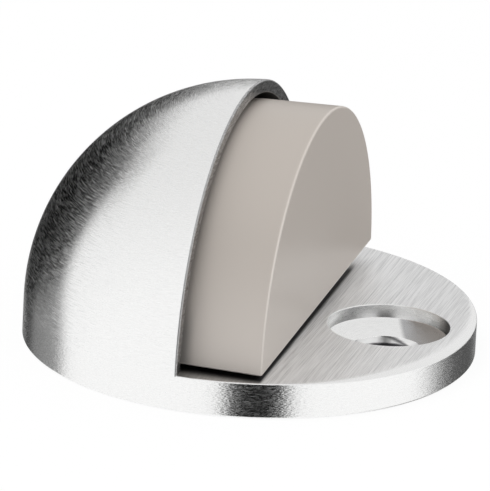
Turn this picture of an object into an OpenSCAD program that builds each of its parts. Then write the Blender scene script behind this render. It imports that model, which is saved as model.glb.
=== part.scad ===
// Half-dome floor door stop.
// The base and the half-dome shell are one casting. A rubber bumper fills the dome and stands out of
// its cut face, where the door lands. A screw from below draws the bumper's moulded-in insert, and the
// bumper with it, down on a raised seat. A floor screw goes through the stepped hole in front.
// Millimetres: +Z is up, the floor is z = 0, the base's centre is the origin, and the bumper faces -Y.

/* [Base] */
// Diameter of the base and of the dome above it
base_d = 44.4; // [43.6:0.2:50]
// Thickness of the base plate
base_t = 3.6; // [3.3:0.1:5]
// Chamfer along the foot's floor edge
foot_break = 0.2; // [0.1:0.1:0.4]
// Rounding along the base's top edge
rim_round = 0.6; // [0.2:0.1:0.9]

/* [Dome] */
// Wall of the dome shell
dome_wall = 1.25; // [1:0.05:2.5]
// Distance of the dome's cut face behind the base's centre
face_back = 1; // [0.3:0.1:2]

/* [Floor screw hole] */
// Distance of the hole's axis behind the base's front edge
hole_inset = 8.2; // [7.6:0.1:8.4]
// Diameter of the counterbore for the screw's head
head_d = 11.9; // [11:0.1:13]
// Depth of the counterbore's straight wall
head_depth = 1.4; // [0.8:0.1:1.6]
// Depth of the cone below the counterbore
cone_depth = 1.05; // [0.6:0.05:1.6]
// Diameter of the plain hole below the cone
shank_d = 7.2; // [5:0.1:8.4]
// Chamfer round the counterbore's mouth
mouth_break = 0.1; // [0.05:0.05:0.3]

/* [Bumper] */
// Clearance between the bumper's crown and the inside of the dome
bumper_gap = 0.6; // [0.3:0.1:1]
// How far the bumper stands out of the dome's cut face
bumper_proud = 7.8; // [5:0.1:8.2]
// How much the bumper widens towards its front, all round
bumper_draft = 0.25; // [0.05:0.05:0.6]
// Gap between the base and the bumper's overhanging edge
bumper_lift = 0.8; // [0.3:0.1:1]
// Rounding along the bumper's half-round front edge
bumper_round = 0.25; // [0.15:0.05:1]

/* [Bumper fixing] */
// Distance of the fixing screw's axis behind the base's centre
fix_back = 8; // [6:0.5:9]
// Diameter of the raised seat below the bumper
seat_d = 20; // [14:1:22]
// Thread diameter of the fixing screw
fix_d = 4; // [3:0.5:5]
// Length of the fixing screw, its head included
fix_l = 10; // [8:0.5:13]
// Diameter of the screw's countersunk head
fix_head_d = 7.6; // [7:0.2:8.4]
// How far the head lies above the floor
fix_head_sink = 0.2; // [0.1:0.1:0.5]
// Clearance round the screw in the base
fix_clear = 0.2; // [0.1:0.05:0.4]
// Chamfer at the screw's tip
fix_tip = 0.6; // [0.3:0.1:0.9]
// Length of the head's cross recess
cross_l = 4; // [3:0.2:4.6]
// Width of the cross recess
cross_w = 0.9; // [0.6:0.1:1.2]
// Depth of the cross recess
cross_depth = 1.2; // [0.8:0.1:1.4]

/* [Threaded insert] */
// Diameter of the insert's stem
insert_d = 7; // [6:0.5:9]
// Diameter of the flange that anchors the insert in the rubber
flange_d = 11; // [9.5:0.5:13]
// Thickness of the flange
flange_t = 2; // [1.5:0.5:3]
// Metal left above the threaded hole
insert_roof = 1; // [0.8:0.1:2]
// Clearance between the screw and the insert's thread
thread_clear = 0.05; // [0.02:0.01:0.1]
// Room above the screw's tip
tip_clear = 0.8; // [0.4:0.1:1.2]

/* [Hidden] */
$fn = 96;

cast_colour = [0.80, 0.80, 0.81];
rubber_colour = [0.69, 0.66, 0.63];
brass_colour = [0.78, 0.66, 0.36];
zinc_colour = [0.72, 0.73, 0.75];

// Every cutting box reaches past the part on all sides.
reach = base_d;
over = 1;

base_r = base_d / 2;
cavity_r = base_r - dome_wall;

hole_y = hole_inset - base_r;
head_floor = base_t - head_depth;
cone_floor = head_floor - cone_depth;

seat_z = base_t + bumper_lift;
bumper_front = bumper_proud - face_back;
bumper_rear_r = cavity_r - bumper_lift - bumper_gap;
bumper_taper = atan(bumper_draft / bumper_front);
round_centre_a = bumper_front - bumper_round;
round_centre_r = bumper_rear_r + round_centre_a * tan(bumper_taper) - bumper_round / cos(bumper_taper);

fix_r = fix_d / 2;
fix_head_r = fix_head_d / 2;
fix_tip_z = fix_head_sink + fix_l;
thread_r = fix_r + thread_clear;
thread_roof = fix_tip_z + tip_clear;
insert_top = thread_roof + insert_roof;

// A point at a distance and an angle from another.
function polar(from, r, angle) = from + r * [cos(angle), sin(angle)];

// The part of a disc between a starting angle and straight up, which rounds a profile's corner.
module corner_sector(centre, r, start) {
    intersection() {
        translate(centre) circle(r = r);
        polygon([
            centre,
            polar(centre, 2 * r, start),
            centre + [2 * r, 2 * r],
            centre + [0, 2 * r]
        ]);
    }
}

module quarter_disc(r) {
    intersection() {
        circle(r = r);
        square(r);
    }
}

// The dome's revolved outline: the upright foot, then the sphere, which leaves it at a tangent.
module dome_profile() {
    polygon([
        [0, 0],
        [base_r - foot_break, 0],
        [base_r, foot_break],
        [base_r, base_t],
        [0, base_t]
    ]);
    translate([0, base_t]) quarter_disc(base_r);
}

// The open front's revolved outline: the upright foot, the rounded rim and the flat top.
module base_profile() {
    rim_centre = [base_r - rim_round, base_t - rim_round];
    polygon([
        [0, 0],
        [base_r - foot_break, 0],
        [base_r, foot_break],
        polar(rim_centre, rim_round, 0),
        rim_centre,
        polar(rim_centre, rim_round, 90),
        [0, base_t]
    ]);
    corner_sector(rim_centre, rim_round, 0);
}

module behind_face() {
    translate([-reach, face_back, -over]) cube([2 * reach, reach, 2 * reach]);
}

module casting_outside() {
    intersection() {
        rotate_extrude() dome_profile();
        behind_face();
    }
    difference() {
        rotate_extrude() base_profile();
        behind_face();
    }
}

module dome_cavity() {
    translate([0, 0, base_t]) rotate_extrude() quarter_disc(cavity_r);
}

module bumper_seat() {
    translate([0, fix_back, 0]) cylinder(d = seat_d, h = seat_z);
}

// The counterbore, its cone and the plain hole, cut by one revolved outline.
module floor_screw_hole() {
    head_r = head_d / 2;
    shank_r = shank_d / 2;
    translate([0, hole_y, 0]) rotate_extrude() polygon([
        [0, -over],
        [shank_r, -over],
        [shank_r, cone_floor],
        [head_r, head_floor],
        [head_r, base_t - mouth_break],
        [head_r + mouth_break + over, base_t + over],
        [0, base_t + over]
    ]);
}

// A right-angled countersink from below, then a clearance hole up through the seat.
module fixing_hole() {
    clear_r = fix_r + fix_clear;
    sink_r = fix_head_r + fix_head_sink;
    translate([0, fix_back, 0]) rotate_extrude() polygon([
        [0, -over],
        [sink_r + over, -over],
        [clear_r, sink_r - clear_r],
        [clear_r, seat_z + over],
        [0, seat_z + over]
    ]);
}

module dome_body() {
    color(cast_colour) difference() {
        union() {
            difference() {
                casting_outside();
                dome_cavity();
            }
            bumper_seat();
        }
        floor_screw_hole();
        fixing_hole();
    }
}

// The bumper's outline round the level axis in its flat bottom: a ball at the back, then a drafted front.
module bumper_profile() {
    round_centre = [round_centre_r, round_centre_a];
    mirror([0, 1]) quarter_disc(bumper_rear_r);
    polygon([
        [0, 0],
        [bumper_rear_r, 0],
        polar(round_centre, bumper_round, -bumper_taper),
        round_centre,
        polar(round_centre, bumper_round, 90),
        [0, bumper_front]
    ]);
    corner_sector(round_centre, bumper_round, -bumper_taper);
}

module bumper() {
    color(rubber_colour) difference() {
        translate([0, 0, seat_z]) rotate([90, 0, 0]) rotate_extrude() bumper_profile();
        translate([-reach, -reach, seat_z - reach]) cube([2 * reach, 2 * reach, reach]);
        translate([0, fix_back, 0]) rotate_extrude() insert_outline();
    }
}

module insert_outline() {
    stem_r = insert_d / 2;
    flange_r = flange_d / 2;
    polygon([
        [0, seat_z],
        [stem_r, seat_z],
        [stem_r, insert_top - flange_t],
        [flange_r, insert_top - flange_t],
        [flange_r, insert_top],
        [0, insert_top]
    ]);
}

module bumper_insert() {
    color(brass_colour) translate([0, fix_back, 0]) difference() {
        rotate_extrude() insert_outline();
        translate([0, 0, seat_z - over]) cylinder(r = thread_r, h = thread_roof - seat_z + over);
    }
}

module bumper_screw() {
    neck_z = fix_head_sink + fix_head_r - fix_r;
    color(zinc_colour) translate([0, fix_back, 0]) difference() {
        rotate_extrude() polygon([
            [0, fix_head_sink],
            [fix_head_r, fix_head_sink],
            [fix_r, neck_z],
            [fix_r, fix_tip_z - fix_tip],
            [fix_r - fix_tip, fix_tip_z],
            [0, fix_tip_z]
        ]);
        for (turn = [0, 90]) {
            rotate(turn) translate([-cross_l / 2, -cross_w / 2, 0])
                cube([cross_l, cross_w, fix_head_sink + cross_depth]);
        }
    }
}

dome_body();
bumper();
bumper_insert();
bumper_screw();
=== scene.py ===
# %% [markdown]
# # A half-dome floor door stop, dressed in Blender
# The real object is a small casting in satin metal. A round base carries a half-dome shell, a grey rubber
# bumper stands out of the shell's open face, and one stepped hole in the base takes the floor screw.
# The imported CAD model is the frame: it says where everything sits, in metres, with the floor at z = 0 and
# the bumper facing -Y. This lesson rebuilds the two pieces that show and gives each surface its finish.
# Sizes are written in millimetres, and become metres where a mesh or a node is made.

# %% Load the frame
import math

import bmesh
import bpy
from mathutils import Matrix, Vector


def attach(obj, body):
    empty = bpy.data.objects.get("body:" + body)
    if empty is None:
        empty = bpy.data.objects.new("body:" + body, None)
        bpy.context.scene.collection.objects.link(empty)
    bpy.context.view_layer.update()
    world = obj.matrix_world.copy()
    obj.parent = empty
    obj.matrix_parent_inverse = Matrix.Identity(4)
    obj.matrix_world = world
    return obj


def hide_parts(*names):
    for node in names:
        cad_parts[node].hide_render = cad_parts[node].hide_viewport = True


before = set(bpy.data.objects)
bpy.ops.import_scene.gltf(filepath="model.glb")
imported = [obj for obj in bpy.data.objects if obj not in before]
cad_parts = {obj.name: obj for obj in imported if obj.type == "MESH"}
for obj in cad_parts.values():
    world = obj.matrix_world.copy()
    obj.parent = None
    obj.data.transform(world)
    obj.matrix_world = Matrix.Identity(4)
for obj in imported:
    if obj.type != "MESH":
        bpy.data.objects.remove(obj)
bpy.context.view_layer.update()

# %% [markdown]
# ## The camera
# The photograph was taken with a long lens, so the view is nearly parallel: the far rim is almost as wide
# as the near one. A camera 40 base radii away with a narrow field gives the same look. Its direction is an
# azimuth round the part, an elevation above the floor and a small roll. A slide across the view centres it.

# %% Camera
MM = 0.001
BASE_R = 22.2
RADII_AWAY = 40
VIEW_AZIMUTH = math.radians(-74.88)
VIEW_ELEVATION = math.radians(19.24)
VIEW_ROLL = math.radians(2.85)
VIEW_DISTANCE = RADII_AWAY * BASE_R * MM
VIEW_SLIDE = (-0.04 * BASE_R * MM, -0.054 * BASE_R * MM)
SENSOR_WIDTH = 36
FRAME_LONG_SIDE = 491
PIXELS_PER_BASE_R = 227.6


def place_in_scene(name, data):
    """Makes an object of a camera, a lamp or a mesh and links it to the scene."""
    thing = bpy.data.objects.new(name, data)
    bpy.context.scene.collection.objects.link(thing)
    return thing


level = math.cos(VIEW_ELEVATION)
backwards = Vector((
    math.sin(VIEW_AZIMUTH) * level,
    -math.cos(VIEW_AZIMUTH) * level,
    math.sin(VIEW_ELEVATION),
))
level_right = Vector((math.cos(VIEW_AZIMUTH), math.sin(VIEW_AZIMUTH), 0))
level_up = backwards.cross(level_right)
view_right = math.cos(VIEW_ROLL) * level_right + math.sin(VIEW_ROLL) * level_up
view_up = backwards.cross(view_right)

camera_data = bpy.data.cameras.new("view")
camera_data.sensor_width = SENSOR_WIDTH
camera_data.lens = PIXELS_PER_BASE_R * RADII_AWAY * SENSOR_WIDTH / FRAME_LONG_SIDE
camera = place_in_scene("view", camera_data)
target = Vector((0, 0, 0.5 * BASE_R * MM)) + view_right * VIEW_SLIDE[0] + view_up * VIEW_SLIDE[1]
camera_place = target + backwards * VIEW_DISTANCE
camera.matrix_world = Matrix((
    (view_right.x, view_up.x, backwards.x, camera_place.x),
    (view_right.y, view_up.y, backwards.y, camera_place.y),
    (view_right.z, view_up.z, backwards.z, camera_place.z),
    (0, 0, 0, 1),
))
bpy.context.scene.camera = camera
bpy.context.scene.view_settings.view_transform = "Standard"
print("camera at", [round(v, 4) for v in camera_place], "lens", round(camera_data.lens, 1), "mm")

# %% [markdown]
# ## Building with patches
# A casting has no hidden joints: its surfaces run into each other. The mesh is made the same way, from
# patches of points that share their borders. Each patch is a grid of rows. When all of them are in place,
# points that lie on each other are merged, and the result is one closed skin.
# Every patch says which finish it wears, because one casting has several: turned, brushed, cut and as cast.

# %% Patches
FINISHES = ["turned_satin", "brushed_flat", "cut_face", "drilled_hole", "cast_inside", "ground_underside"]
MERGE_WITHIN = 0.0004


def add_rows(skin, rows, finish=FINISHES[0]):
    """Adds a grid of points, in millimetres, and quads between its rows. A plain piece leaves finish out."""
    grid = [[skin.verts.new(Vector(p) * MM) for p in row] for row in rows]
    for upper, lower in zip(grid, grid[1:]):
        for i in range(len(upper) - 1):
            face = skin.faces.new((upper[i], upper[i + 1], lower[i + 1], lower[i]))
            face.material_index = FINISHES.index(finish)


def add_level_face(skin, loops, finish=FINISHES[0]):
    """Fills a level face between an outer loop of points and the loops of its holes."""
    edges = []
    for loop in loops:
        points = [skin.verts.new(Vector(p) * MM) for p in loop]
        edges += [skin.edges.new((a, b)) for a, b in zip(points, points[1:] + points[:1])]
    filled = bmesh.ops.triangle_fill(skin, edges=edges, use_beauty=True, normal=(0, 0, 1))
    for face in filled["geom"]:
        if isinstance(face, bmesh.types.BMFace):
            face.material_index = FINISHES.index(finish)


def turn(profile, centre, steps):
    """Turns a profile of (radius, height) points about an upright axis and returns its rows."""
    angles = [2 * math.pi * k / steps for k in range(steps + 1)]
    return [
        [(centre[0] + r * math.cos(a), centre[1] + r * math.sin(a), z) for a in angles]
        for r, z in profile
    ]


def arc(centre, radius, start, end, steps):
    """Points along an arc in a plane."""
    turns = [start + (end - start) * k / steps for k in range(steps + 1)]
    return [(centre[0] + radius * math.cos(t), centre[1] + radius * math.sin(t)) for t in turns]


def close_skin(skin, name, sharp_from):
    """Merges the patches, points every face outwards, and makes an object of the skin."""
    bmesh.ops.remove_doubles(skin, verts=skin.verts, dist=MERGE_WITHIN * MM)
    bmesh.ops.dissolve_degenerate(skin, edges=skin.edges, dist=MERGE_WITHIN * MM)
    loose = [v for v in skin.verts if not v.link_faces]
    bmesh.ops.delete(skin, geom=loose, context="VERTS")
    bmesh.ops.recalc_face_normals(skin, faces=skin.faces)
    for face in skin.faces:
        face.smooth = True
    for edge in skin.edges:
        edge.smooth = edge.calc_face_angle(0) < sharp_from
    open_edges = sum(1 for e in skin.edges if len(e.link_faces) != 2)
    volume = round(skin.calc_volume() / MM ** 3, 1)
    print(name, "has", len(skin.faces), "faces,", open_edges, "open edges, volume", volume, "mm3")
    mesh = bpy.data.meshes.new(name)
    skin.to_mesh(mesh)
    skin.free()
    return place_in_scene(name, mesh)


casting_skin = bmesh.new()
print("patch helpers ready for", len(FINISHES), "finishes")

# %% [markdown]
# ## The dome
# The shell is a ball cut by an upright plane. Ball, pocket and cut are all round about one level axis, so
# one outline turned by half a turn about that axis gives the shell, its cut face and the small breaks on
# the cut's two edges. A grinding belt leaves such breaks on a real casting, and they catch the light.
# They wear the cut's finish and not the dome's, because the belt made them and the dome's brush came before.

# %% Dome shell
BASE_T = 3.6
POCKET_R = 20.95
CUT_Y = 1.0
OUTER_BREAK = 0.2
INNER_BREAK = 0.12
BALL_STEPS = 90
POCKET_STEPS = 48
OUTER_BREAK_STEPS = 5
INNER_BREAK_STEPS = 4
HALF_TURN_STEPS = 120

outer_centre_y = CUT_Y + OUTER_BREAK
inner_centre_y = CUT_Y + INNER_BREAK
outer_break_r = math.sqrt((BASE_R - OUTER_BREAK) ** 2 - outer_centre_y ** 2)
inner_break_r = math.sqrt((POCKET_R + INNER_BREAK) ** 2 - inner_centre_y ** 2)
outer_end = math.atan2(outer_break_r, outer_centre_y)
inner_end = math.atan2(inner_break_r, inner_centre_y)
outer_centre = (outer_centre_y, outer_break_r)
inner_centre = (inner_centre_y, inner_break_r)

ball = arc((0, 0), BASE_R, 0, outer_end, BALL_STEPS)
ball_break = arc(outer_centre, OUTER_BREAK, outer_end, math.pi, OUTER_BREAK_STEPS)
pocket_break = arc(inner_centre, INNER_BREAK, math.pi, math.pi + inner_end, INNER_BREAK_STEPS)
cut = [ball_break[-1], pocket_break[0]]
pocket = arc((0, 0), POCKET_R, inner_end, 0, POCKET_STEPS)


def half_turn(outline, axis_z):
    """Turns (y, radius) points by half a turn about a level axis along Y and returns the rows."""
    angles = [math.pi * k / HALF_TURN_STEPS for k in range(HALF_TURN_STEPS + 1)]
    return [[(r * math.cos(a), y, axis_z + r * math.sin(a)) for a in angles] for y, r in outline]


for outline, finish in (
    (ball, "turned_satin"),
    (ball_break, "cut_face"),
    (cut, "cut_face"),
    (pocket_break, "cut_face"),
    (pocket, "cast_inside"),
):
    add_rows(casting_skin, half_turn(outline, BASE_T), finish)
print("dome shell: wall", round(BASE_R - POCKET_R, 2), "mm, height", BASE_T + BASE_R, "mm")

# %% [markdown]
# ## The rim in front
# In front of the bumper the base ends in a crisp edge. Belt grinding left the top flat, and polishing
# rolled it off towards the front end, so a pale crescent lies between the flat and the edge: nothing
# beside the bumper, about two millimetres wide at the front. A constant fillet can't do that,
# so each column of the rim works out its own roll: a small round, then a slope that eases into the flat.

# %% Rim columns
FOOT_BREAK = 0.2
EDGE_ROUND = 0.15
ROUND_STEPS = 4
SLOPE_STEPS = 8
ROLL_WIDTH = 2.0
ROLL_MIDDLE = math.radians(-15)
ROLL_REACH = math.radians(58)
ROLL_FADE = 1.5
ROLL_FALL = 0.11
ROLL_EASE = 2.6
TILT_ROUNDS = 6
RIM_STEPS = 150

corner_x = outer_break_r
narrowest_roll = BASE_R - math.hypot(corner_x, CUT_Y)
corner_azimuth = math.atan2(corner_x, -CUT_Y)


def roll_points(azimuth):
    """The rim's (radius, height) points at an azimuth from -Y: the wall's top, the round and the slope."""
    share = max(0.0, 1 - ((azimuth - ROLL_MIDDLE) / ROLL_REACH) ** 2) ** ROLL_FADE
    width = narrowest_roll + ROLL_WIDTH * share
    fall = ROLL_FALL * ROLL_WIDTH * share
    # The round has to end at the slope's own tilt, and each of the two depends on the other.
    tilt = 0.0
    for _ in range(TILT_ROUNDS):
        slope_width = width - EDGE_ROUND + EDGE_ROUND * math.sin(tilt)
        tilt = math.atan(ROLL_EASE * fall / slope_width)
    round_z = BASE_T - fall - EDGE_ROUND * math.cos(tilt)
    points = arc((BASE_R - EDGE_ROUND, round_z), EDGE_ROUND, 0, math.pi / 2 - tilt, ROUND_STEPS)
    for k in range(1, SLOPE_STEPS + 1):
        left = 1 - k / SLOPE_STEPS
        points.append((BASE_R - width + slope_width * left, BASE_T - fall * left ** ROLL_EASE))
    return points


def at_azimuth(radius, azimuth, z):
    """A point at a radius and a height, at an azimuth from -Y towards +X."""
    return (radius * math.sin(azimuth), -radius * math.cos(azimuth), z)


rim_azimuths = [corner_azimuth * (1 - 2 * k / RIM_STEPS) for k in range(RIM_STEPS + 1)]
rim_rolls = [[at_azimuth(r, a, z) for r, z in roll_points(a)] for a in rim_azimuths]
add_rows(casting_skin, [roll[:ROUND_STEPS + 1] for roll in rim_rolls], "turned_satin")
add_rows(casting_skin, [roll[ROUND_STEPS:] for roll in rim_rolls], "brushed_flat")
print("rim: roll from", round(narrowest_roll, 2), "to", round(narrowest_roll + ROLL_WIDTH, 2), "mm wide")

# %% [markdown]
# ## The foot
# Below the dome and the rim the casting is an upright band with a small break along the floor. Its columns
# have to stand under the points already made, or the skin would have cracks, so they are taken from them.
# At each end of the cut a small four-sided patch joins the dome's edge break to the rim's round.

# %% Foot
wall_top = roll_points(corner_azimuth)[0][1]
roll_count = ROUND_STEPS + SLOPE_STEPS
corner_heights = [wall_top + (BASE_T - wall_top) * k / roll_count for k in range(roll_count + 1)]


def foot_rows(columns):
    """The band's rows from the given (x, y) columns down to the floor, with the break at the bottom."""
    inner = 1 - FOOT_BREAK / BASE_R
    return [[(x, y, FOOT_BREAK) for x, y in columns], [(x * inner, y * inner, 0) for x, y in columns]]


dome_columns = [(r, y) for y, r in reversed(ball)] + [(-r, y) for y, r in ball[1:]]
dome_rows = [[(x, y, z) for x, y in dome_columns] for z in reversed(corner_heights)]
add_rows(casting_skin, dome_rows + foot_rows(dome_columns), "turned_satin")

rim_columns = [at_azimuth(BASE_R, a, 0)[:2] for a in rim_azimuths]
rim_tops = [roll[0] for roll in rim_rolls]
add_rows(casting_skin, [rim_tops] + foot_rows(rim_columns), "turned_satin")


def corner_patch(side):
    """Blends the four borders of the corner where the cut meets the rim (side is 1 or -1 along X)."""
    start = math.atan2(BASE_R * math.sin(outer_end), -BASE_R * math.cos(outer_end))
    count = len(ball_break) - 1
    turns = [start + (corner_azimuth - start) * k / count for k in range(count + 1)]
    bottom = [Vector(at_azimuth(BASE_R, a, wall_top)) for a in turns]
    top = [Vector((r, y, BASE_T)) for y, r in ball_break]
    left = [Vector((*bottom[0].xy, z)) for z in corner_heights]
    right = [Vector(at_azimuth(r, corner_azimuth, z)) for r, z in roll_points(corner_azimuth)]
    rows = []
    for j in range(roll_count + 1):
        v = j / roll_count
        row = []
        for i in range(count + 1):
            u = i / count
            across = bottom[i] * (1 - v) + top[i] * v + left[j] * (1 - u) + right[j] * u
            low_end = bottom[0] * (1 - u) + bottom[-1] * u
            high_end = top[0] * (1 - u) + top[-1] * u
            point = across - (low_end * (1 - v) + high_end * v)
            row.append((side * point.x, point.y, point.z))
        rows.append(row)
    foot = [(x, y) for x, y, _ in rows[0]]
    add_rows(casting_skin, rows, "turned_satin")
    add_rows(casting_skin, [rows[0]] + foot_rows(foot), "turned_satin")
    return foot[1:-1]


right_corner = corner_patch(1)
left_corner = corner_patch(-1)
print("foot:", len(dome_columns) + len(rim_columns), "columns")

# %% [markdown]
# ## The flat, the screw hole and the inside
# The flat in front and the pocket's floor are one level face. Two things interrupt it: the stepped hole for
# the floor screw, with its counterbore and shallow cone, and the raised seat under the bumper. Both are
# turned outlines, and the level faces are filled between their circles and the outer border.
# A cutter's cone is seldom straight. This one is dished by less than a tenth of a millimetre, which is
# enough to change what it mirrors.

# %% Hole, seat and level faces
HOLE_Y = -14.0
HEAD_R = 5.95
HEAD_FLOOR = 2.2
FILLET_UP = 0.06
FILLET_IN = 0.05
CONE_FLOOR = 1.15
CONE_DISH = 0.08
CONE_STEPS = 6
SHANK_R = 3.6
MOUTH_BREAK = 0.1
MOUTH_STEPS = 4
FIX_Y = 8.0
SEAT_R = 10.0
SEAT_Z = 4.4
FIX_CLEAR_R = 2.2
FIX_SINK_R = 4.0
CIRCLE_STEPS = 128
CASTING_SHARP_FROM = math.radians(33)
FLAT_WEIGHT = 60

hole_centre = (0, HOLE_Y)
fix_centre = (0, FIX_Y)
mouth = []
for k in range(MOUTH_STEPS + 1):
    t = math.pi / 2 * k / MOUTH_STEPS
    radius = HEAD_R + MOUTH_BREAK - MOUTH_BREAK * math.sin(t)
    mouth.append((radius, BASE_T - MOUTH_BREAK * (1 - math.cos(t))))
cone_top_r = HEAD_R - FILLET_IN
wall_foot = [(HEAD_R, HEAD_FLOOR + FILLET_UP), (cone_top_r, HEAD_FLOOR)]
cone = []
for k in range(1, CONE_STEPS):
    down = k / CONE_STEPS
    dished = CONE_DISH * 4 * down * (1 - down)
    radius = cone_top_r - (cone_top_r - SHANK_R) * down
    cone.append((radius, HEAD_FLOOR - (HEAD_FLOOR - CONE_FLOOR) * down - dished))
hole = mouth + wall_foot + cone + [(SHANK_R, CONE_FLOOR), (SHANK_R, 0)]
add_rows(casting_skin, turn(hole, hole_centre, CIRCLE_STEPS), "drilled_hole")
seat = [(SEAT_R, BASE_T), (SEAT_R, SEAT_Z), (FIX_CLEAR_R, SEAT_Z)]
sink = [(FIX_CLEAR_R, SEAT_Z), (FIX_CLEAR_R, FIX_SINK_R - FIX_CLEAR_R), (FIX_SINK_R, 0)]
add_rows(casting_skin, turn(seat, fix_centre, CIRCLE_STEPS), "cast_inside")
add_rows(casting_skin, turn(sink, fix_centre, CIRCLE_STEPS), "drilled_hole")


def circle(radius, centre, z):
    """A closed loop of points, with no point twice."""
    return turn([(radius, z)], centre, CIRCLE_STEPS)[0][:-1]


pocket_border = [(-r, y) for y, r in cut + pocket_break[1:] + pocket[1:]]
pocket_border += [(r, y) for y, r in reversed(cut + pocket_break[1:] + pocket[1:-1])]
flat_border = [roll[-1] for roll in rim_rolls] + [(x, y, BASE_T) for x, y in pocket_border[1:-1]]
flat_holes = [circle(mouth[0][0], hole_centre, BASE_T), circle(SEAT_R, fix_centre, BASE_T)]
add_level_face(casting_skin, [flat_border] + flat_holes, "brushed_flat")

floor_columns = rim_columns + list(reversed(left_corner)) + list(reversed(dome_columns)) + right_corner
floor_border = foot_rows(floor_columns)[1]
floor_holes = [circle(SHANK_R, hole_centre, 0), circle(FIX_SINK_R, fix_centre, 0)]
add_level_face(casting_skin, [floor_border] + floor_holes, "ground_underside")

casting = close_skin(casting_skin, "casting", CASTING_SHARP_FROM)
smooth_flats = casting.modifiers.new("smooth_flats", "WEIGHTED_NORMAL")
smooth_flats.keep_sharp = True
smooth_flats.weight = FLAT_WEIGHT
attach(casting, "root")
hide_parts("dome_body")

# %% [markdown]
# ## The rubber bumper
# The bumper is a moulded block: half-round in front with a little draft, and a ball behind that fills the
# pocket. It is the same half turn as the dome, about an axis in its own flat bottom. Rubber has no knife
# edges, so a bevel rounds the front edge and the bottom edge, by weights, and leaves the pocket for the
# threaded insert square.
# In the photograph the bumper has settled crooked: it is turned by 1.7 degrees about its level axis, so the
# gap under it opens towards one side. The skin is turned by as much. The ring on the seat and the insert's
# pocket stay where the CAD has them.

# %% Bumper
BUMPER_FRONT_Y = -6.8
BUMPER_FRONT_R = 19.8
BUMPER_REAR_R = 19.55
BUMPER_EDGE = 0.25
BUMPER_EDGE_STEPS = 4
BUMPER_TURN = math.radians(1.7)
BUMPER_SHARP_FROM = math.radians(50)
SIDE_STEPS = 4
BACK_STEPS = 40
SEAT_CLEAR = 0.2
BEVEL_TO_Y = 4.0
BEVEL_FROM_R = 8
INSERT_R = 3.5
FLANGE_R = 5.5
FLANGE_Z = 10.0
INSERT_TOP = 12.0
TOUCHING = 0.001
JUST_PAST = 1.001

bumper_side = []
for k in range(SIDE_STEPS):
    back = k / SIDE_STEPS
    radius = BUMPER_FRONT_R + (BUMPER_REAR_R - BUMPER_FRONT_R) * back
    bumper_side.append((BUMPER_FRONT_Y * (1 - back), radius))
bumper_side += [(y, r) for r, y in arc((0, 0), BUMPER_REAR_R, 0, math.pi / 2, BACK_STEPS)]

bumper_skin = bmesh.new()
add_rows(bumper_skin, half_turn(bumper_side, SEAT_Z))
front_loop = half_turn([bumper_side[0]], SEAT_Z)[0]
bumper_skin.faces.new([bumper_skin.verts.new(Vector(p) * MM) for p in front_loop])
bottom_border = [(r, y, SEAT_Z) for y, r in bumper_side]
bottom_border += [(-r, y, SEAT_Z) for y, r in reversed(bumper_side[:-1])]
seat_ring = circle(SEAT_R + SEAT_CLEAR, fix_centre, SEAT_Z)
add_level_face(bumper_skin, [bottom_border, seat_ring])
add_level_face(bumper_skin, [seat_ring, circle(INSERT_R, fix_centre, SEAT_Z)])
insert_pocket = [
    (INSERT_R, SEAT_Z),
    (INSERT_R, FLANGE_Z),
    (FLANGE_R, FLANGE_Z),
    (FLANGE_R, INSERT_TOP),
    (0, INSERT_TOP),
]
add_rows(bumper_skin, turn(insert_pocket, fix_centre, CIRCLE_STEPS))
bumper = close_skin(bumper_skin, "rubber_bumper", BUMPER_SHARP_FROM)

edge_weights = bumper.data.attributes.new("bevel_weight_edge", "FLOAT", "EDGE")
rounded = 0
for edge in bumper.data.edges:
    ends = [bumper.data.vertices[i].co / MM for i in edge.vertices]
    on_front = all(abs(p.y - BUMPER_FRONT_Y) < TOUCHING for p in ends)
    on_bottom = all(abs(p.z - SEAT_Z) < TOUCHING and p.y < BEVEL_TO_Y for p in ends)
    outside = min(math.hypot(p.x, p.z - SEAT_Z) for p in ends) > BEVEL_FROM_R
    if edge.use_edge_sharp and (on_front or (on_bottom and outside)):
        edge_weights.data[edge.index].value = 1
        rounded += 1

held_r = (SEAT_R + SEAT_CLEAR) * MM * JUST_PAST
turn_about_y = Matrix.Rotation(-BUMPER_TURN, 3, "Y")
axis_point = Vector((0, 0, SEAT_Z * MM))
for point in bumper.data.vertices:
    off_seat = (point.co.xy - Vector(fix_centre) * MM).length > held_r
    if off_seat or point.co.z > INSERT_TOP * MM * JUST_PAST:
        point.co = axis_point + turn_about_y @ (point.co - axis_point)
edge_round = bumper.modifiers.new("edge_round", "BEVEL")
edge_round.limit_method = "WEIGHT"
edge_round.width = BUMPER_EDGE * MM
edge_round.segments = BUMPER_EDGE_STEPS
edge_round.harden_normals = True
print("bumper:", rounded, "edges rounded to", BUMPER_EDGE, "mm")
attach(bumper, "root")
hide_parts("bumper")

# %% [markdown]
# ## Finishes from nodes
# A finish is a small network of nodes. Each helper below makes one node, or a few that belong together, and
# returns the socket to go on with. Places are the object's own, in metres, so a finish stays on the part
# wherever the camera stands.

# %% Node helpers


def new_finish(name):
    """A new material with its tree and its one shader."""
    finish = bpy.data.materials.new(name)
    finish.use_nodes = True
    shader = next(n for n in finish.node_tree.nodes if n.type == "BSDF_PRINCIPLED")
    return finish, finish.node_tree, shader


def feed(tree, socket, value):
    """Links a socket, or sets its number or vector."""
    if isinstance(value, bpy.types.NodeSocket):
        tree.links.new(value, socket)
    elif value is not None:
        socket.default_value = value


def math_node(tree, operation, a, b=None, plus=None, clamp=False):
    """A sum on one, two or three numbers. plus is what MULTIPLY_ADD adds."""
    node = tree.nodes.new("ShaderNodeMath")
    node.operation = operation
    node.use_clamp = clamp
    for socket, value in zip(node.inputs, (a, b, plus)):
        feed(tree, socket, value)
    return node.outputs[0]


def times(tree, a, b):
    """a times b."""
    return math_node(tree, "MULTIPLY", a, b)


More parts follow.
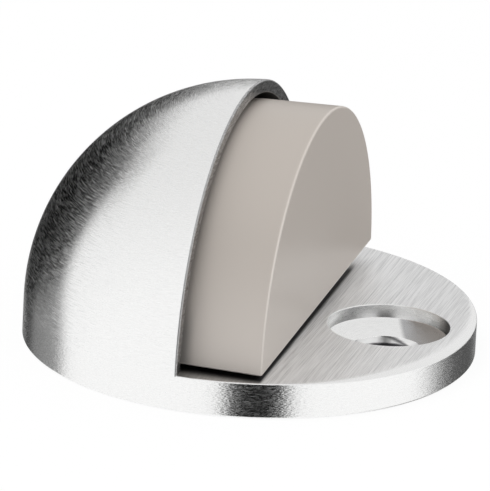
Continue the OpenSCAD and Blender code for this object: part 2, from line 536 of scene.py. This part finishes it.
def times_plus(tree, a, b, plus):
    """a times b, plus a third number."""
    return math_node(tree, "MULTIPLY_ADD", a, b, plus)


def vector_node(tree, operation, a, b=None, scale=None):
    """A sum on one or two vectors. The scale socket hides in other sums, so it goes by its number, 3."""
    node = tree.nodes.new("ShaderNodeVectorMath")
    node.operation = operation
    feed(tree, node.inputs[0], a)
    feed(tree, node.inputs[1], b)
    feed(tree, node.inputs[3], scale)
    return node.outputs["Value" if operation in ("DOT_PRODUCT", "LENGTH") else "Vector"]


def split(tree, vector):
    """The X, Y and Z of a vector."""
    node = tree.nodes.new("ShaderNodeSeparateXYZ")
    feed(tree, node.inputs[0], vector)
    return node.outputs[0], node.outputs[1], node.outputs[2]


def own_place(tree, centre=(0, 0, 0)):
    """The point's place in the object's own frame, in metres, measured from a centre in millimetres."""
    node = tree.nodes.new("ShaderNodeTexCoord")
    return vector_node(tree, "SUBTRACT", node.outputs["Object"], [c * MM for c in centre])


print("node helpers ready")

# %% Ramps, noise and colour


def ramp_node(tree, value, from_low, from_high, to_low=0.0, to_high=1.0, ease=False):
    """Carries one range of numbers over to another, straight or with soft ends."""
    node = tree.nodes.new("ShaderNodeMapRange")
    node.interpolation_type = "SMOOTHSTEP" if ease else "LINEAR"
    for socket, number in zip(node.inputs, (value, from_low, from_high, to_low, to_high)):
        feed(tree, socket, number)
    return node.outputs[0]


def fade(tree, value, start_mm, end_mm, at_start=0.0, at_end=1.0):
    """A soft change between two places, in millimetres."""
    return ramp_node(tree, value, start_mm * MM, end_mm * MM, at_start, at_end, True)


def noise_node(tree, vector, scale, detail, roughness):
    """Soft noise between 0 and 1, with a number of cells to each unit of its vector."""
    node = tree.nodes.new("ShaderNodeTexNoise")
    feed(tree, node.inputs["Vector"], vector)
    feed(tree, node.inputs["Scale"], scale)
    feed(tree, node.inputs["Detail"], detail)
    feed(tree, node.inputs["Roughness"], roughness)
    return node.outputs["Fac"]


def mixed(tree, share, first, second):
    """A mix of two colours, each a socket or three numbers: all first at 0, all second at 1."""
    # The node keeps sockets for each kind of value. Inputs 6 and 7 and output 2 are the colours.
    node = tree.nodes.new("ShaderNodeMix")
    node.data_type = "RGBA"
    feed(tree, node.inputs[0], share)
    for socket, colour in ((node.inputs[6], first), (node.inputs[7], second)):
        feed(tree, socket, (*colour, 1) if isinstance(colour, tuple) else colour)
    return node.outputs[2]


def shaded(tree, colour, low, high, value):
    """A colour scaled between two brightnesses by a value from 0 to 1."""
    darkest = tuple(c * low for c in colour)
    palest = tuple(min(1.0, c * high) for c in colour)
    return mixed(tree, value, darkest, palest)


def bumped(tree, shader, height, depth_mm):
    """Tilts the surface by a field of heights from 0 to 1 and a depth."""
    node = tree.nodes.new("ShaderNodeBump")
    feed(tree, node.inputs["Height"], height)
    node.inputs["Distance"].default_value = depth_mm * MM
    node.inputs["Strength"].default_value = 1.0
    tree.links.new(node.outputs["Normal"], shader.inputs["Normal"])


print("ramps, noise and colour ready")

# %% [markdown]
# ## Brushing
# Brushed metal is a field of fine grooves. A groove tilts the surface a little across its own direction and
# not along it, so a noise that is stretched along the brush gives both the tilt and the faint streaks.
# The dome and the rim were brushed while they turned, so their grooves run round the upright axis. The flat
# was brushed straight across. The shader's anisotropy then spreads each reflection across the grooves.

# %% Brushing helpers


def grooves(tree, along, across_arc, stroke_mm, width_mm, detail, roughness):
    """Noise stretched along the brush. along is the place to be stretched, across_arc an arc across it."""
    along_x, along_y, _ = split(tree, vector_node(tree, "SCALE", along, scale=1 / (stroke_mm * MM)))
    together = tree.nodes.new("ShaderNodeCombineXYZ")
    feed(tree, together.inputs[0], along_x)
    feed(tree, together.inputs[1], along_y)
    feed(tree, together.inputs[2], times(tree, across_arc, 1 / (width_mm * MM)))
    return noise_node(tree, together.outputs[0], 1.0, detail, roughness)


def straight_grooves(tree, length_mm, width_mm, detail, roughness, offset_mm=0.0):
    """Noise stretched along X. The offset picks another part of the same noise."""
    place = vector_node(tree, "ADD", own_place(tree), (0, 0, offset_mm * MM))
    narrow = 1 / (width_mm * MM)
    stretched = vector_node(tree, "MULTIPLY", place, (1 / (length_mm * MM), narrow, narrow))
    return noise_node(tree, stretched, 1.0, detail, roughness)


def brush_across(tree, shader, axis, rotation, anisotropy):
    """Spreads the reflection: the tangent circles an axis and may be turned by a quarter."""
    tangent = tree.nodes.new("ShaderNodeTangent")
    tangent.direction_type = "RADIAL"
    tangent.axis = axis
    tree.links.new(tangent.outputs[0], shader.inputs["Tangent"])
    shader.inputs["Anisotropic"].default_value = anisotropy
    shader.inputs["Anisotropic Rotation"].default_value = rotation


print("brushing helpers ready")

# %% [markdown]
# ## Turned satin
# The dome and the rim show pale metal with very fine strokes. Where the surroundings are even the strokes
# hardly show, and where the reflection turns dark they sparkle. Two fields of grooves do that: strokes tilt
# the surface, and scratches are duller than the metal between them.
# On the dome the brush left hairs about a millimetre long. On the narrow rim it only dabbed, so the grooves
# are short and make a grain. Height tells the two apart: the dome starts at the top of the base.

# %% Turned satin
CHROME = (0.93, 0.93, 0.925)
# The grooves' length and width in millimetres.
RIM_STROKE = (0.36, 0.052)
DOME_STROKE = (0.8, 0.04)
RIM_SCRATCH = (0.6, 0.044)
DOME_SCRATCH = (1.4, 0.032)
SCRATCH_OFFSET = 5
SATIN_ROUGHNESS = 0.17
RIM_DULL = 0.115
DOME_DULL = 0.245
SATIN_DEPTH = 0.022
DOME_SHALLOW = 0.6

turned_satin, tree, shader = new_finish("turned_satin")
place = own_place(tree, (0, 0, BASE_T))
up_and_down = split(tree, vector_node(tree, "NORMALIZE", place))[2]
arc_down = times(tree, math_node(tree, "ARCCOSINE", up_and_down), BASE_R * MM)
other_arc = math_node(tree, "ADD", arc_down, SCRATCH_OFFSET * MM)
on_dome = ramp_node(tree, split(tree, place)[2], -0.3 * MM, 0.3 * MM)


def rim_to_dome(rim, dome):
    """A number or a field that changes from the rim's to the dome's at the top of the base."""
    return ramp_node(tree, on_dome, 0.0, 1.0, rim, dome)


def turned_grooves(across_arc, *sizes):
    """Grooves round the upright axis, in the rim's size and in the dome's."""
    return rim_to_dome(*[grooves(tree, place, across_arc, *size, 1.0, 0.5) for size in sizes])


stroke = turned_grooves(arc_down, RIM_STROKE, DOME_STROKE)
scratch = turned_grooves(other_arc, RIM_SCRATCH, DOME_SCRATCH)
dull_scratch = times(tree, ramp_node(tree, scratch, 0.53, 0.62), rim_to_dome(RIM_DULL, DOME_DULL))
pale_stroke = ramp_node(tree, stroke, 0.3, 0.7)
feed(tree, shader.inputs["Base Color"], shaded(tree, CHROME, 0.97, 1.02, pale_stroke))
feed(tree, shader.inputs["Roughness"], math_node(tree, "ADD", dull_scratch, SATIN_ROUGHNESS))
shader.inputs["Metallic"].default_value = 1.0
brush_across(tree, shader, "Z", 0.25, 0.3)
bumped(tree, shader, times(tree, stroke, rim_to_dome(1.0, DOME_SHALLOW)), SATIN_DEPTH)
print("turned satin:", len(tree.nodes), "nodes")

# %% [markdown]
# ## Brushed flat
# The flat was brushed along X, from one side of the part to the other. Its lines are fine, straight and a
# little uneven, and they show as pale and dark hairlines because the flat mirrors one even part of the room.
# Two places differ. The crescent at the rim lost its lines to the polishing, and a point's height tells where
# that is. At the bumper's foot a narrow strip is painted nearly black: painted shade under the bumper, where
# the flat mirrors its shaded underside. The strip leans a little, as the bumper does, and ends short of the
# rim.

# %% Brushed flat
BRUSHED = (0.93, 0.93, 0.93)
POLISHED = (0.95, 0.95, 0.945)
HAIRLINE = (6.0, 0.032)
UNEVEN = (3.6, 0.14)
UNEVEN_OFFSET = 40.0
FLAT_DEPTH = 0.012

brushed_flat, tree, shader = new_finish("brushed_flat")
hairline = straight_grooves(tree, *HAIRLINE, 1.0, 0.5)
uneven = straight_grooves(tree, *UNEVEN, 1.0, 0.5, UNEVEN_OFFSET)
stroke = times_plus(tree, uneven, 0.4, hairline)
brushed_colour = shaded(tree, BRUSHED, 0.68, 1.07, ramp_node(tree, stroke, 0.45, 0.82))
along_x, along_y, height = split(tree, own_place(tree))
rolled = fade(tree, height, BASE_T - 0.07, BASE_T - 0.004, 1.0, 0.0)
polished_colour = mixed(tree, rolled, brushed_colour, POLISHED)
rough = ramp_node(tree, hairline, 0.3, 0.7, 0.42, 0.5)
feed(tree, shader.inputs["Roughness"], times_plus(tree, rolled, -0.22, rough))
shader.inputs["Metallic"].default_value = 1.0
brush_across(tree, shader, "X", 0.0, 0.75)
bumped(tree, shader, times(tree, stroke, math_node(tree, "SUBTRACT", 1.0, rolled)), FLAT_DEPTH)
print("hairlines", HAIRLINE[0], "mm long and", HAIRLINE[1], "mm wide")

# %% Painted shade strip on the flat
PAINTED_SHADE_STRIP = (0.03, 0.03, 0.032)
STRIP_Y = BUMPER_FRONT_Y + 0.007
STRIP_LEAN = 0.0158

behind = times_plus(tree, along_x, -STRIP_LEAN, along_y)
under_bumper = fade(tree, behind, STRIP_Y - 0.05, STRIP_Y + 0.35)
short_of_end = fade(tree, along_x, 13.5, 16.5, 1.0, 0.0)
short_of_rim = fade(tree, math_node(tree, "ABSOLUTE", along_x), 20.08, 21.88, 1.0, 0.2)
painted_shade_under_bumper = times(tree, times(tree, under_bumper, short_of_end), short_of_rim)
# The dark strip is painted shade: it stands in for the bumper's shaded underside mirrored in the flat.
feed(tree, shader.inputs["Base Color"], mixed(tree, painted_shade_under_bumper, polished_colour, PAINTED_SHADE_STRIP))
print("brushed flat:", len(tree.nodes), "nodes")

# %% [markdown]
# ## Cut face
# The dome's cut face was ground with a coarser belt, along X like the flat. Its short scratches go from
# nearly black to pale, because the plating is thin on the ridges between them.

# %% Cut face
GROUND = (0.52, 0.52, 0.52)
BELT_SCRATCH = (0.8, 0.03)
BELT_OFFSET = 11.0
BELT_DEPTH = 0.012

cut_face, tree, shader = new_finish("cut_face")
scratch = straight_grooves(tree, *BELT_SCRATCH, 2.0, 0.6, BELT_OFFSET)
pale_ridge = ramp_node(tree, scratch, 0.42, 0.68)
feed(tree, shader.inputs["Base Color"], shaded(tree, GROUND, 0.45, 1.7, pale_ridge))
feed(tree, shader.inputs["Roughness"], ramp_node(tree, scratch, 0.36, 0.66, 0.25, 0.36))
shader.inputs["Metallic"].default_value = 1.0
bumped(tree, shader, scratch, BELT_DEPTH)
print("cut face:", len(tree.nodes), "nodes")

# %% [markdown]
# ## Drilled hole
# The hole keeps the rings of its drill. Its cone is almost a mirror, its wall and its shank are duller.
# Three places are painted darker. One side of the cone is a painted reflection of the bumper; the front end
# of the wall, and the foot of the shank with a streak that runs down to it, are painted shade. Each is a mask
# from the point's own place, measured from the hole's axis.

# %% Drilled hole
DRILL_RING = (0.8, 0.028)
RING_DEPTH = 0.006
WALL_DULL = 0.17
SHANK_DULL = 0.26


def turned_rings(tree, place, stroke_mm, width_mm):
    """The rings that a drill or a lathe leaves round an upright axis."""
    out = vector_node(tree, "LENGTH", vector_node(tree, "MULTIPLY", place, (1, 1, 0)))
    outline = math_node(tree, "ADD", out, split(tree, place)[2])
    return grooves(tree, place, outline, stroke_mm, width_mm, 2.0, 0.6)


drilled_hole, tree, shader = new_finish("drilled_hole")
place = own_place(tree, (0, HOLE_Y, 0))
across_x, across_y, height = split(tree, place)
ring = turned_rings(tree, place, *DRILL_RING)
above_cone = ramp_node(tree, height, HEAD_FLOOR * MM, (HEAD_FLOOR + 0.05) * MM)
below_cone = ramp_node(tree, height, (CONE_FLOOR - 0.02) * MM, CONE_FLOOR * MM, 1.0, 0.0)
smooth_cone = ramp_node(tree, ring, 0.3, 0.7, 0.09, 0.14)
dull_wall = times(tree, above_cone, WALL_DULL)
dull_shank = ramp_node(tree, height, (CONE_FLOOR - 0.1) * MM, CONE_FLOOR * MM, SHANK_DULL, 0.0)
dull = math_node(tree, "ADD", dull_wall, dull_shank)
feed(tree, shader.inputs["Roughness"], math_node(tree, "ADD", smooth_cone, dull))
shader.inputs["Metallic"].default_value = 1.0
calm_wall = times_plus(tree, above_cone, -0.8, 1.0)
bumped(tree, shader, times(tree, ring, calm_wall), RING_DEPTH)
print("drill rings", DRILL_RING[1], "mm apart")

# %% Painted reflection and shade in the hole
CONE_PAINTED_REFLECTION = (0.48, 0.48, 0.485)
WALL_PAINTED_SHADE = (0.07, 0.07, 0.075)
FOOT_PAINTED_SHADE = (0.06, 0.06, 0.065)
REFLECTION_SIDE = (0.43, -0.9, 0)
STREAK_STEEPNESS = 2.5
STREAK_START = 2.45

on_cone = fade(tree, vector_node(tree, "DOT_PRODUCT", place, REFLECTION_SIDE), 1.9, 2.5)
off_cone = math_node(tree, "MAXIMUM", above_cone, below_cone)
on_cone = math_node(tree, "SUBTRACT", on_cone, off_cone, clamp=True)
on_wall = times(tree, fade(tree, across_y, -3.4, -5.6), above_cone)
ragged = times_plus(tree, ring, 0.3 * MM, height)
at_foot = fade(tree, ragged, 0.5, 0.72, 1.0, 0.0)
off_streak = times_plus(tree, ragged, -STREAK_STEEPNESS, across_y)
off_streak = math_node(tree, "ABSOLUTE", math_node(tree, "ADD", off_streak, STREAK_START * MM))
far_shank = times(tree, ramp_node(tree, across_x, 0.0, 0.5 * MM), below_cone)
on_streak = times(tree, fade(tree, off_streak, 0.05, 0.95, 0.85, 0.0), far_shank)
painted_foot_shade = math_node(tree, "MAXIMUM", at_foot, on_streak)
plated = shaded(tree, CHROME, 0.92, 1.06, ramp_node(tree, ring, 0.3, 0.7))
# Painted reflection on one side of the cone; painted shade on the wall's front end, the shank's foot and the
# streak.
for mask, colour in ((on_cone, CONE_PAINTED_REFLECTION), (on_wall, WALL_PAINTED_SHADE), (painted_foot_shade, FOOT_PAINTED_SHADE)):
    plated = mixed(tree, mask, plated, colour)
feed(tree, shader.inputs["Base Color"], plated)
print("drilled hole:", len(tree.nodes), "nodes")

# %% [markdown]
# ## Inside and underside
# Inside the pocket and under the base nobody polished. There the plating is dull and its tone drifts slowly
# from one side to the other, which a noise with cells far longer than the part gives. The pocket is given a
# much darker colour.

# %% Cast inside and underside
DRIFT_CELL = 200


def drift(tree, place, detail, roughness):
    """A slow change about the middle of 0 and 1, from noise with cells of DRIFT_CELL millimetres."""
    return noise_node(tree, place, 1 / (DRIFT_CELL * MM), detail, roughness)


def dull_plating(name, colour, low, high):
    """Plating on the casting's own skin, between two roughnesses."""
    finish, tree, shader = new_finish(name)
    tone = drift(tree, own_place(tree), 2.0, 0.5)
    tone = ramp_node(tree, tone, 0.3, 0.7)
    feed(tree, shader.inputs["Base Color"], shaded(tree, colour, 0.82, 1.08, tone))
    feed(tree, shader.inputs["Roughness"], ramp_node(tree, tone, 0.0, 1.0, low, high))
    shader.inputs["Metallic"].default_value = 1.0
    return finish


cast_inside = dull_plating("cast_inside", (0.12, 0.12, 0.12), 0.45, 0.6)
ground_underside = dull_plating("ground_underside", (0.62, 0.62, 0.62), 0.38, 0.52)
for finish in (turned_satin, brushed_flat, cut_face, drilled_hole, cast_inside, ground_underside):
    casting.data.materials.append(finish)
print("casting wears", [m.name for m in casting.data.materials])

# %% [markdown]
# ## Grey rubber
# The rubber is a warm grey that drifts a little in tone, with some gloss from its mould. Its front face is
# painted paler, as painted light. A painted highlight makes a thin pale line on the front edge and the bottom
# edge, painted light from the flat makes the low side paler, and painted shade darkens the corner where the
# bumper goes into the dome near the base. Each of these follows the shape, so each is a mask from the point's
# own distance to an edge or a face.
# Gloss stays nearly even on purpose: a roughness under about 0.27 makes the denoiser treat a surface as a
# mirror, and a face that lies on both sides of that number gets a border drawn across it.

# %% Grey rubber
RUBBER = (0.475, 0.433, 0.395)
PAINTED_PALE_FRONT = (0.60, 0.548, 0.502)
RUBBER_GLOSS = 0.1
RUBBER_ROUGHNESS = (0.285, 0.36)
RUBBER_DRIFT = (0.342, 0.658)

grey_rubber, tree, shader = new_finish("grey_rubber")
from_axis = own_place(tree, (0, 0, SEAT_Z))
off_x, off_y, off_z = split(tree, from_axis)
tone = ramp_node(tree, drift(tree, own_place(tree), 3.0, 0.55), *RUBBER_DRIFT)
front_end = (BUMPER_FRONT_Y + 0.1) * MM
side_start = (BUMPER_FRONT_Y + 0.3) * MM
# The front face gets a paler colour: painted light.
on_front = ramp_node(tree, off_y, front_end, side_start, 1.0, 0.0)
sides, front = [shaded(tree, colour, 0.93, 1.07, tone) for colour in (RUBBER, PAINTED_PALE_FRONT)]
rubber_with_painted_front = mixed(tree, on_front, sides, front)
feed(tree, shader.inputs["Roughness"], ramp_node(tree, tone, 0.0, 1.0, *RUBBER_ROUGHNESS))
shader.inputs["Specular IOR Level"].default_value = RUBBER_GLOSS
bumper.data.materials.append(grey_rubber)
print("rubber: roughness between", *RUBBER_ROUGHNESS)

# %% Painted shade, highlights and light on the rubber
CORNER_PAINTED_SHADE = (0.13, 0.125, 0.12)
PAINTED_PALE = (0.745, 0.695, 0.65)

# Painted shade in the corner where the bumper goes into the dome, low down near the base.
corner_shade = fade(tree, off_y, CUT_Y - 1.0, CUT_Y + 0.1)
corner_shade = times(tree, corner_shade, fade(tree, off_z, 2, 6, 1.0, 0.0))
body_colour = mixed(tree, corner_shade, rubber_with_painted_front, CORNER_PAINTED_SHADE)

# On the front edge the reach from the axis and the reach forwards are both at their largest.
reach_out = vector_node(tree, "LENGTH", vector_node(tree, "MULTIPLY", from_axis, (1, 0, 1)))
to_edge = math_node(tree, "SUBTRACT", reach_out, off_y)
edge_at = BUMPER_FRONT_R - BUMPER_FRONT_Y
# A painted highlight along the rounded front edge.
front_edge_highlight = fade(tree, to_edge, edge_at - 0.225, edge_at - 0.155)
front_edge_highlight = times(tree, front_edge_highlight, fade(tree, off_z, 8, BUMPER_FRONT_R, 1.0, 0.35))

square_to_bottom = (-math.sin(BUMPER_TURN), 0, math.cos(BUMPER_TURN))
off_bottom = vector_node(tree, "DOT_PRODUCT", from_axis, square_to_bottom)
# A painted highlight along the bottom edge.
bottom_edge_highlight = fade(tree, off_bottom, 0.26, 0.34, 0.9, 0.0)
# Painted light from the flat below makes the low side, and less so the front, paler.
low_side_light = fade(tree, off_bottom, 0.0, 13, 1.0, 0.0)
low_side_light = times(tree, low_side_light, fade(tree, off_x, -8, 8, 1.0, 0.0))
low_side_light = times(tree, low_side_light, ramp_node(tree, on_front, 0.0, 1.0, 0.52, 0.22))
# The pale colour carries the painted highlights and the painted light from the flat.
painted_light_mask = math_node(tree, "MAXIMUM", math_node(tree, "MAXIMUM", front_edge_highlight, bottom_edge_highlight), low_side_light)
feed(tree, shader.inputs["Base Color"], mixed(tree, painted_light_mask, body_colour, PAINTED_PALE))
print("grey rubber:", len(tree.nodes), "nodes")

# %% [markdown]
# ## The hidden fixing
# The brass insert and the zinc-plated screw keep their CAD shapes, which are right as they are. Only the
# screw's head shows, from below. They still get a real finish: the rings of the lathe, on a metal whose
# colour drifts a little.

# %% Brass and zinc
LATHE_STROKE = 0.6


def turned_metal(name, colour, tint, ring_mm, low, high):
    """Metal from a lathe: rings about the fixing's axis, and a drift towards a second colour."""
    finish, tree, shader = new_finish(name)
    place = own_place(tree, (0, FIX_Y, 0))
    ring = turned_rings(tree, place, LATHE_STROKE, ring_mm)
    tinted = ramp_node(tree, drift(tree, place, 3.0, 0.6), 0.35, 0.65)
    feed(tree, shader.inputs["Base Color"], mixed(tree, tinted, colour, tint))
    feed(tree, shader.inputs["Roughness"], ramp_node(tree, ring, 0.3, 0.7, low, high))
    shader.inputs["Metallic"].default_value = 1.0
    bumped(tree, shader, ring, RING_DEPTH)
    return finish


def dress(node_name, finish):
    """Gives a CAD node a new finish in place of its own."""
    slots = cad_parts[node_name].data.materials
    slots.clear()
    slots.append(finish)


brass = turned_metal("insert_brass", (0.72, 0.53, 0.24), (0.66, 0.47, 0.2), 0.024, 0.22, 0.34)
zinc = turned_metal("zinc_steel", (0.66, 0.68, 0.7), (0.6, 0.61, 0.58), 0.02, 0.26, 0.4)
dress("bumper_insert", brass)
dress("bumper_screw", zinc)
print("dressed the insert and the screw")

# %% [markdown]
# ## The tent
# Satin metal shows its surroundings, so the light is built as a surrounding: a white tent all round, with
# soft dark gaps. Four of them overlap behind the part and make the dark band along the dome's edge. One wide,
# faint gap dims the tent's roof on the far side, and two lie low on that side. A dark column is the opening
# that the camera looks through, and the rim mirrors it as a dark patch.
# Rays from the camera see plain white.

# %% Tent
TENT_LIGHT = 0.99
# Each gap: azimuth, elevation, full dark within, none beyond (all in degrees), and depth.
TENT_GAPS = [
    (130, -1, 18.5, 24.5, 0.95),
    (149.3, 9.9, 19, 27.5, 0.93),
    (161, 33.2, 1, 12.1, 0.63),
    (148.2, -12.2, 24.6, 31.3, 0.73),
    (102.3, 58.1, 10, 110, 0.17),
    (64.1, -22.5, 17.1, 36.1, 0.91),
    (106, -9, 8, 20, 0.8),
]
COLUMN_AZIMUTH = -69.6
COLUMN_DARK = 14.3
COLUMN_END = 17.6
COLUMN_TOP = 36
COLUMN_FADE = 10
WHITE = (1, 1, 1, 1)

world = bpy.data.worlds.new("tent")
bpy.context.scene.world = world
world.use_nodes = True
tree = world.node_tree
tree.nodes.clear()
looking = tree.nodes.new("ShaderNodeTexCoord").outputs["Generated"]


def towards(azimuth, elevation):
    """A direction from an azimuth (0 in front of the bumper, 90 along +X) and an elevation in degrees."""
    a, e = math.radians(azimuth), math.radians(elevation)
    return (math.sin(a) * math.cos(e), -math.cos(a) * math.cos(e), math.sin(e))


def near_to(look, direction, full, none):
    """How near a look is to a direction: 1 within one angle in degrees, 0 beyond another."""
    near = vector_node(tree, "DOT_PRODUCT", look, direction)
    return ramp_node(tree, near, math.cos(math.radians(none)), math.cos(math.radians(full)), 0.0, 1.0, True)


def darken(light, dark, depth):
    """Takes a share of the light away where it is dark."""
    return times(tree, light, times_plus(tree, dark, -depth, 1.0))


light = TENT_LIGHT
for azimuth, elevation, full, none, depth in TENT_GAPS:
    light = darken(light, near_to(looking, towards(azimuth, elevation), full, none), depth)
level_look = vector_node(tree, "NORMALIZE", vector_node(tree, "MULTIPLY", looking, (1, 1, 0)))
beside = near_to(level_look, towards(COLUMN_AZIMUTH, 0), COLUMN_DARK, COLUMN_END)
column_low = math.sin(math.radians(COLUMN_TOP - COLUMN_FADE))
column_high = math.sin(math.radians(COLUMN_TOP))
below_top = ramp_node(tree, split(tree, looking)[2], column_low, column_high, 1.0, 0.0, True)
light = darken(light, times(tree, beside, below_top), 1.0)

tent = tree.nodes.new("ShaderNodeBackground")
feed(tree, tent.inputs["Strength"], light)
tent.inputs["Color"].default_value = WHITE
plain = tree.nodes.new("ShaderNodeBackground")
plain.inputs["Color"].default_value = WHITE
plain.inputs["Strength"].default_value = 1.0
path = tree.nodes.new("ShaderNodeLightPath")
seen_directly = math_node(tree, "MAXIMUM", path.outputs["Is Camera Ray"], path.outputs["Is Transmission Ray"])
choose = tree.nodes.new("ShaderNodeMixShader")
feed(tree, choose.inputs[0], seen_directly)
tree.links.new(tent.outputs[0], choose.inputs[1])
tree.links.new(plain.outputs[0], choose.inputs[2])
surround = tree.nodes.new("ShaderNodeOutputWorld")
tree.links.new(choose.outputs[0], surround.inputs["Surface"])
print("tent:", len(TENT_GAPS), "gaps and a column")

# %% [markdown]
# ## The lamp
# A tent alone lights rubber from all sides alike. One large soft lamp, high over the -X side and a little
# behind, makes the bumper's side paler than its front. It doesn't show in the metal.

# %% Lamp
LAMP_SIZE = 0.5
LAMP_POWER = 1.7
LAMP_DISTANCE = 0.7
LAMP_DIRECTION = towards(-122, 68)

lamp_data = bpy.data.lights.new("left_lamp", "AREA")
lamp_data.shape = "SQUARE"
lamp_data.size = LAMP_SIZE
lamp_data.energy = LAMP_POWER
lamp = place_in_scene("left_lamp", lamp_data)
lamp.location = Vector(LAMP_DIRECTION) * LAMP_DISTANCE
lamp.rotation_euler = lamp.location.to_track_quat("Z", "Y").to_euler()
lamp.visible_glossy = False
print("lamp at", [round(v, 2) for v in lamp.location])

# %% [markdown]
# ## The floor
# The part stands on a pale floor that is nearly all glow, so it runs into the white background and still
# takes a faint shadow. It lies a hair below the part: if the two shared a plane, a ray from below couldn't
# tell which of them it met first. Seen from below it is clear, so the underside can be looked at.

# %% Floor
FLOOR_HALF = 1.5
FLOOR_CELLS = 8
FLOOR_Z = -0.03
FLOOR_GLOW = 0.9


def stage_only(thing):
    """Leaves a thing to the camera's rays alone: it neither lights nor shades the part, nor shows in it."""
    thing.visible_diffuse = False
    thing.visible_glossy = False
    thing.visible_transmission = False
    thing.visible_shadow = False


def one_sided_paint(name, grey, glow):
    """Matt paint with a share of white glow, clear when it is seen from below."""
    paint, tree, shader = new_finish(name)
    tree.nodes.remove(shader)
    matt = tree.nodes.new("ShaderNodeBsdfDiffuse")
    matt.inputs["Color"].default_value = (grey, grey, grey, 1)
    white = tree.nodes.new("ShaderNodeEmission")
    white.inputs["Color"].default_value = WHITE
    white.inputs["Strength"].default_value = 1.0
    share = tree.nodes.new("ShaderNodeMixShader")
    share.inputs[0].default_value = glow
    tree.links.new(matt.outputs[0], share.inputs[1])
    tree.links.new(white.outputs[0], share.inputs[2])
    clear = tree.nodes.new("ShaderNodeBsdfTransparent")
    side = tree.nodes.new("ShaderNodeNewGeometry")
    one_sided = tree.nodes.new("ShaderNodeMixShader")
    tree.links.new(side.outputs["Backfacing"], one_sided.inputs[0])
    tree.links.new(share.outputs[0], one_sided.inputs[1])
    tree.links.new(clear.outputs[0], one_sided.inputs[2])
    output = next(n for n in tree.nodes if n.type == "OUTPUT_MATERIAL")
    tree.links.new(one_sided.outputs[0], output.inputs["Surface"])
    return paint


floor_skin = bmesh.new()
bmesh.ops.create_grid(floor_skin, x_segments=FLOOR_CELLS, y_segments=FLOOR_CELLS, size=FLOOR_HALF)
bmesh.ops.translate(floor_skin, verts=floor_skin.verts, vec=(0, 0, FLOOR_Z * MM))
floor_mesh = bpy.data.meshes.new("pale_floor")
floor_skin.to_mesh(floor_mesh)
floor_skin.free()
floor = place_in_scene("pale_floor", floor_mesh)
stage_only(floor)
floor_mesh.materials.append(one_sided_paint("pale_floor", 0.94, FLOOR_GLOW))
print("floor:", 2 * FLOOR_HALF, "m wide")

# %% [markdown]
# ## The floor in the screw hole
# Looking down through the screw hole, the eye meets the floor in the part's own shade. The pale floor is
# nearly all glow and can't show it, so a small matt disc lies there instead. Only the camera's rays meet it,
# and from below it is clear as well.

# %% Shaded patch
PATCH_R = 4.2
PATCH_Z = -0.01
PATCH_STEPS = 48

patch_skin = bmesh.new()
patch_profile = [(r, PATCH_Z) for r in (PATCH_R, PATCH_R / 2, 0)]
add_rows(patch_skin, turn(patch_profile, hole_centre, PATCH_STEPS))
patch = close_skin(patch_skin, "shaded_patch", math.pi)
if patch.data.polygons[0].normal.z < 0:
    patch.data.flip_normals()
stage_only(patch)
# The disc's grey, far below the floor's, is painted shade.
patch.data.materials.append(one_sided_paint("shaded_patch", 0.45, 0.0))
